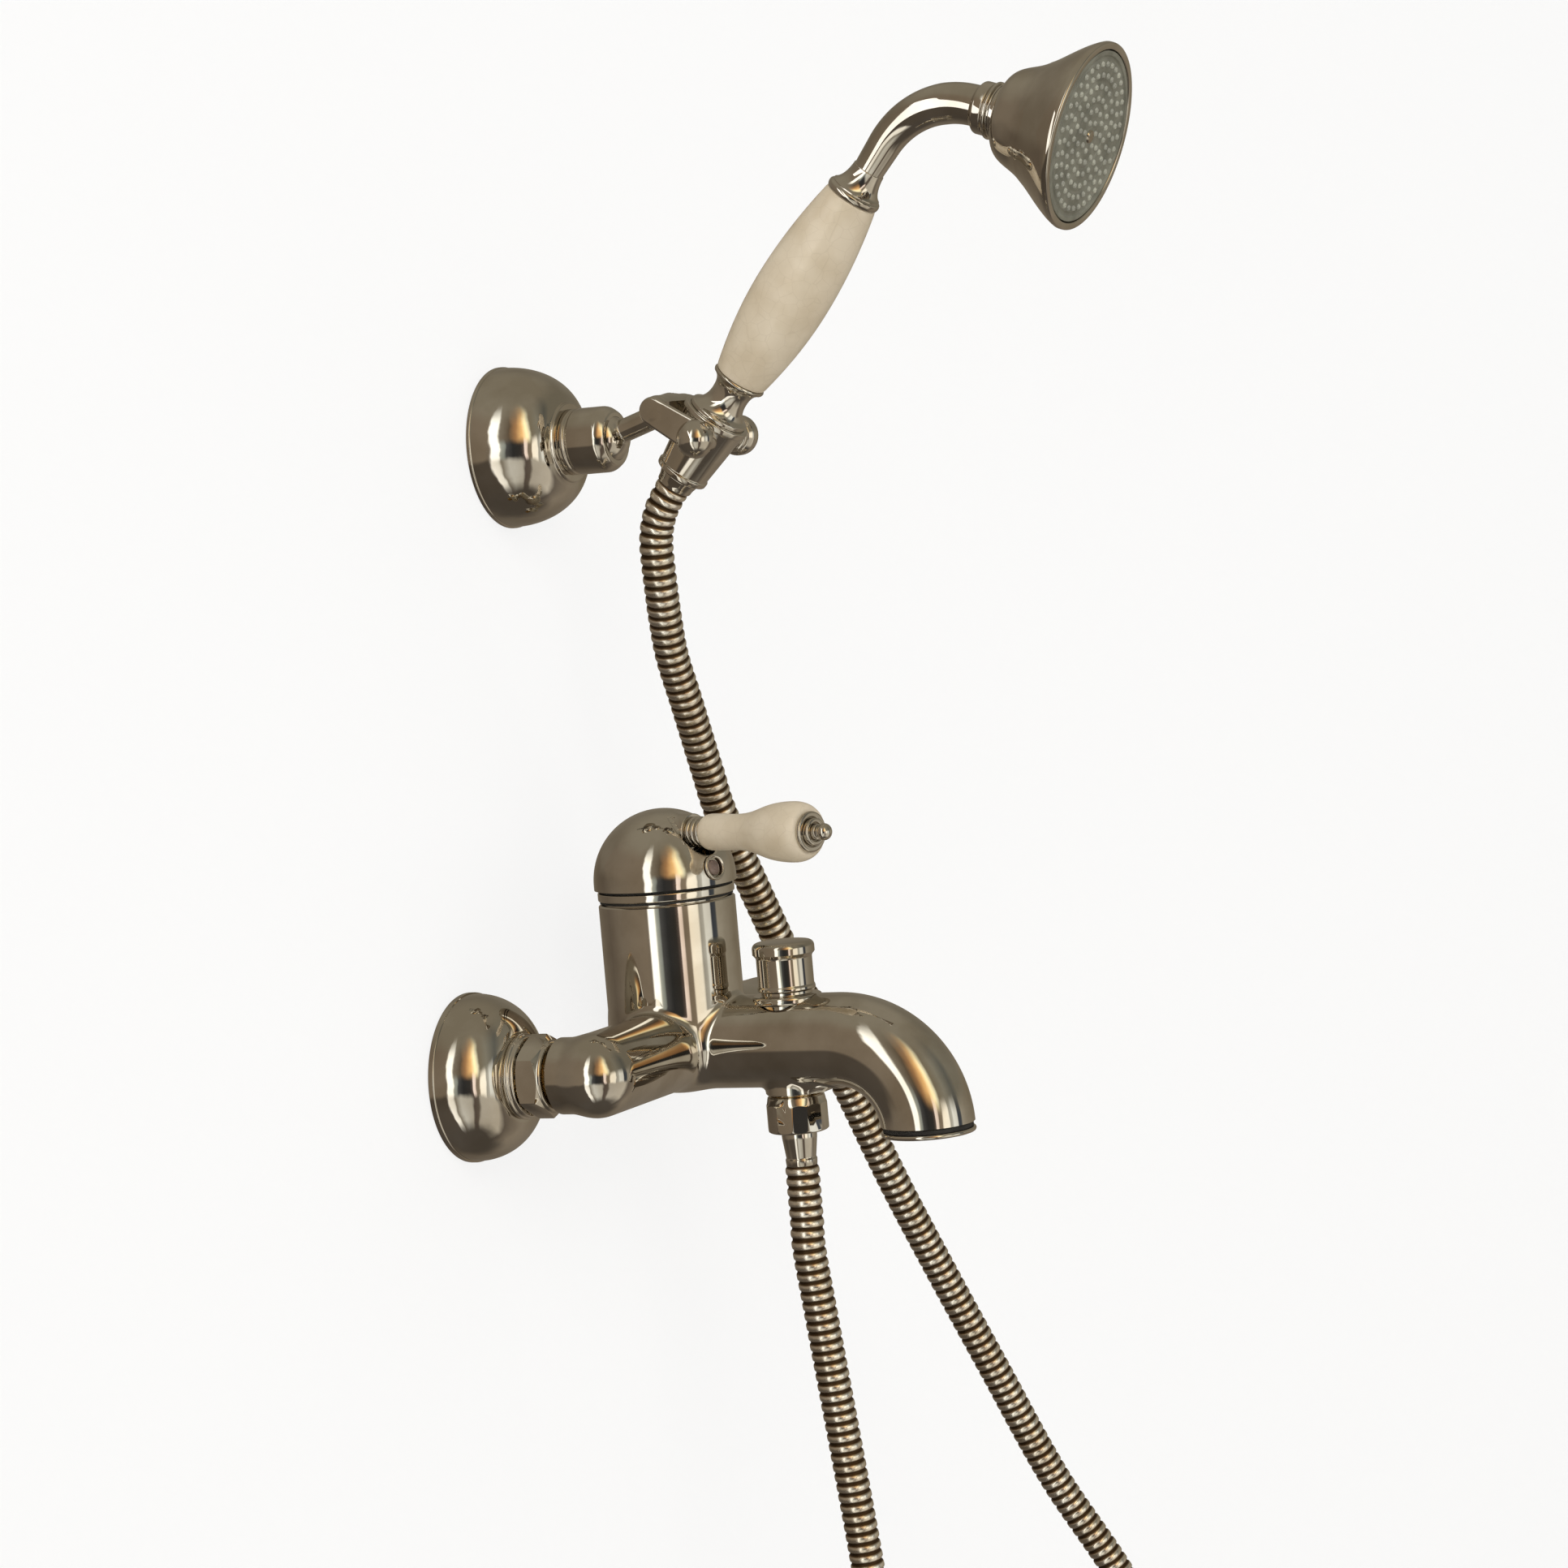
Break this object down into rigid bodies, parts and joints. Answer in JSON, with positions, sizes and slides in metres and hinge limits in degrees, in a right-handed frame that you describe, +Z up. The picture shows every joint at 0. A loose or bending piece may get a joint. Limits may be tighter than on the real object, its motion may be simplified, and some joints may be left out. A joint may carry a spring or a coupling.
{
  "type": "wall mounted bath faucet",
  "caption": "Wall-mounted bath and shower mixer with a ceramic lever, a diverter on its spout, and a metal hose to a hand shower resting in a swivelling wall bracket.",
  "frame": {"origin": "on the finished wall, midway between the two inlets, at the height of the mixer's side arms", "axes": "+Z up, +Y into the wall, so the mixer stands out towards -Y; +X to the right as seen from the room, on the cold side"},
  "size_m": [0.3421, 0.3086, 0.9761],
  "materials": {
    "chrome": "polished",
    "ceramic": "gloss",
    "brass": "machined",
    "rubber": "matt",
    "plastic": "moulded",
    "alumina": "lapped",
    "spray_face": "moulded",
    "hose": "wound strip",
    "steel": "zinc plated"
  },
  "bodies": {
    "wall_set": {"escutcheon_left": "chrome", "escutcheon_right": "chrome", "union_left": "brass", "union_right": "brass", "union_nut_left": "chrome", "union_nut_right": "chrome", "union_seal_left": "rubber", "union_seal_right": "rubber", "inlet_sleeve_left": "brass", "inlet_sleeve_right": "brass", "mixer_body": "chrome", "aerator_housing": "chrome", "aerator_insert": "plastic", "cartridge_seals": "rubber", "cartridge_base": "plastic", "ceramic_disc_fixed": "alumina", "cartridge_shell": "plastic", "cartridge_nut": "brass", "trim_ring": "chrome", "diverter_bonnet": "chrome", "hose_nipple": "brass", "hose_seal_lower": "rubber", "hose_nut_lower": "chrome", "hose_ferrule_lower": "chrome", "shower_hose": "hose", "bracket_plate": "brass", "bracket_screws": "steel", "bracket_escutcheon": "chrome", "bracket_collar": "chrome"},
    "turret": {"lever_turret": "plastic", "pivot_pin": "steel"},
    "lever": {"lever_spindle": "brass", "lever_dome": "chrome", "lever_collar": "chrome", "lever_rod": "steel", "lever_grip": "ceramic", "lever_cap": "chrome", "index_plug": "chrome"},
    "disc": {"ceramic_disc_moving": "alumina", "disc_carrier": "plastic"},
    "diverter": {"diverter_knob": "chrome", "diverter_stem": "brass", "diverter_valve": "rubber"},
    "arm": {"bracket_arm": "chrome"},
    "cradle": {"cradle_cup": "chrome", "cradle_screw": "chrome", "cradle_knob": "chrome"},
    "handset": {"hose_ferrule_upper": "chrome", "hose_seal_upper": "rubber", "hose_nut_upper": "chrome", "handset_ferrule_lower": "chrome", "handset_grip": "ceramic", "handset_tube": "brass", "handset_ferrule_upper": "chrome", "handset_neck": "chrome", "head_collar": "chrome", "head_bell": "chrome", "head_plate": "spray_face", "head_screw": "chrome"}
  },
  "joints": [
    {"name": "lever_turn", "type": "hinge", "parent": "wall_set", "child": "turret", "pos_m": [0, -0.0555, 0], "axis": [0, 0, 1], "range_deg": [-33, 67]},
    {"name": "lever_lift", "type": "hinge", "parent": "turret", "child": "lever", "pos_m": [0, -0.0555, 0.042], "axis": [-0.9563, 0.2924, 0], "range_deg": [0, 25]},
    {"name": "disc_slide", "type": "slide", "parent": "turret", "child": "disc", "axis": [-0.2924, -0.9563, 0], "range_m": [0, 0.005]},
    {"name": "diverter_pull", "type": "slide", "parent": "wall_set", "child": "diverter", "axis": [0, 0, 1], "range_m": [0, 0.007]},
    {"name": "arm_swing", "type": "hinge", "parent": "wall_set", "child": "arm", "pos_m": [0, -0.046, 0.249], "axis": [0, 0, 1], "range_deg": [-20, 20], "deforming": ["shower_hose"]},
    {"name": "cradle_tilt", "type": "hinge", "parent": "arm", "child": "cradle", "pos_m": [0, -0.09608, 0.246], "axis": [-1, 0, 0], "range_deg": [-15, 20], "deforming": ["shower_hose"]},
    {"name": "handset_lift", "type": "slide", "parent": "cradle", "child": "handset", "axis": [0, -0.6428, 0.766], "range_m": [0, 0.035], "deforming": ["shower_hose"]}
  ],
  "couplings": [
    {"joint": "disc_slide", "follows": "lever_lift", "m_per_rad": 0.0105}
  ]
}
